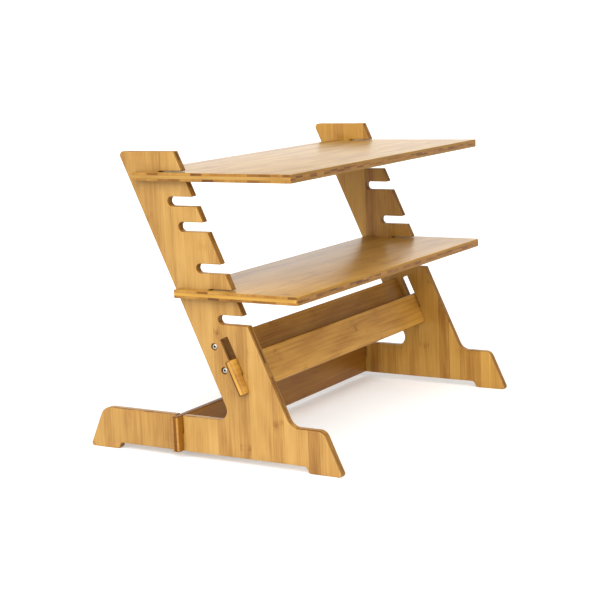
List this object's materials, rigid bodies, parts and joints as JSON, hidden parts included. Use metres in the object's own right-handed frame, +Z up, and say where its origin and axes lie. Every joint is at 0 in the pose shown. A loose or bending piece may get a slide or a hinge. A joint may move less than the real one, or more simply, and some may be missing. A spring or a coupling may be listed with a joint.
{
  "type": "monitor riser stand",
  "caption": "Bamboo sit-stand riser: two leaning notched side panels hold a monitor shelf and a keyboard shelf; a hooked beam, a cross beam and a bolted brace tie them.",
  "frame": {"origin": "on the desk surface, at the middle of the stand's footprint", "axes": "+Z up; the user sits at -Y facing +Y; +X to the user's right"},
  "size_m": [0.72, 0.5304, 0.544],
  "materials": {
    "bamboo_panel": "satin lacquered bamboo, grain upright",
    "bamboo_shelf": "satin lacquered bamboo, grain along the shelf",
    "bamboo_beam": "satin lacquered bamboo, grain along the beam",
    "bolt_steel": "nickel-plated",
    "nut_steel": "zinc-plated"
  },
  "bodies": {
    "frame": {"left_side_panel": "bamboo_panel", "right_side_panel": "bamboo_panel", "back_brace": "bamboo_beam", "connector_bolt_left_lower": "bolt_steel", "connector_bolt_left_upper": "bolt_steel", "connector_bolt_right_lower": "bolt_steel", "connector_bolt_right_upper": "bolt_steel", "barrel_nut_left_lower": "nut_steel", "barrel_nut_left_upper": "nut_steel", "barrel_nut_right_lower": "nut_steel", "barrel_nut_right_upper": "nut_steel"},
    "upper_shelf": {"upper_shelf": "bamboo_shelf"},
    "lower_shelf": {"lower_shelf": "bamboo_shelf"},
    "front_beam": {"front_hook_beam": "bamboo_beam"},
    "cross_beam": {"rear_cross_beam": "bamboo_beam"}
  },
  "joints": [
    {"name": "upper_shelf_slide", "type": "slide", "parent": "frame", "child": "upper_shelf", "axis": [0, -1, 0], "range_m": [0, 0.11]},
    {"name": "lower_shelf_slide", "type": "slide", "parent": "frame", "child": "lower_shelf", "axis": [0, -1, 0], "range_m": [0, 0.125]},
    {"name": "front_beam_lift", "type": "slide", "parent": "frame", "child": "front_beam", "axis": [0, 0.4163, 0.9092], "range_m": [0, 0.039]},
    {"name": "cross_beam_lift", "type": "slide", "parent": "frame", "child": "cross_beam", "axis": [0, 0, 1], "range_m": [0, 0.066]}
  ]
}
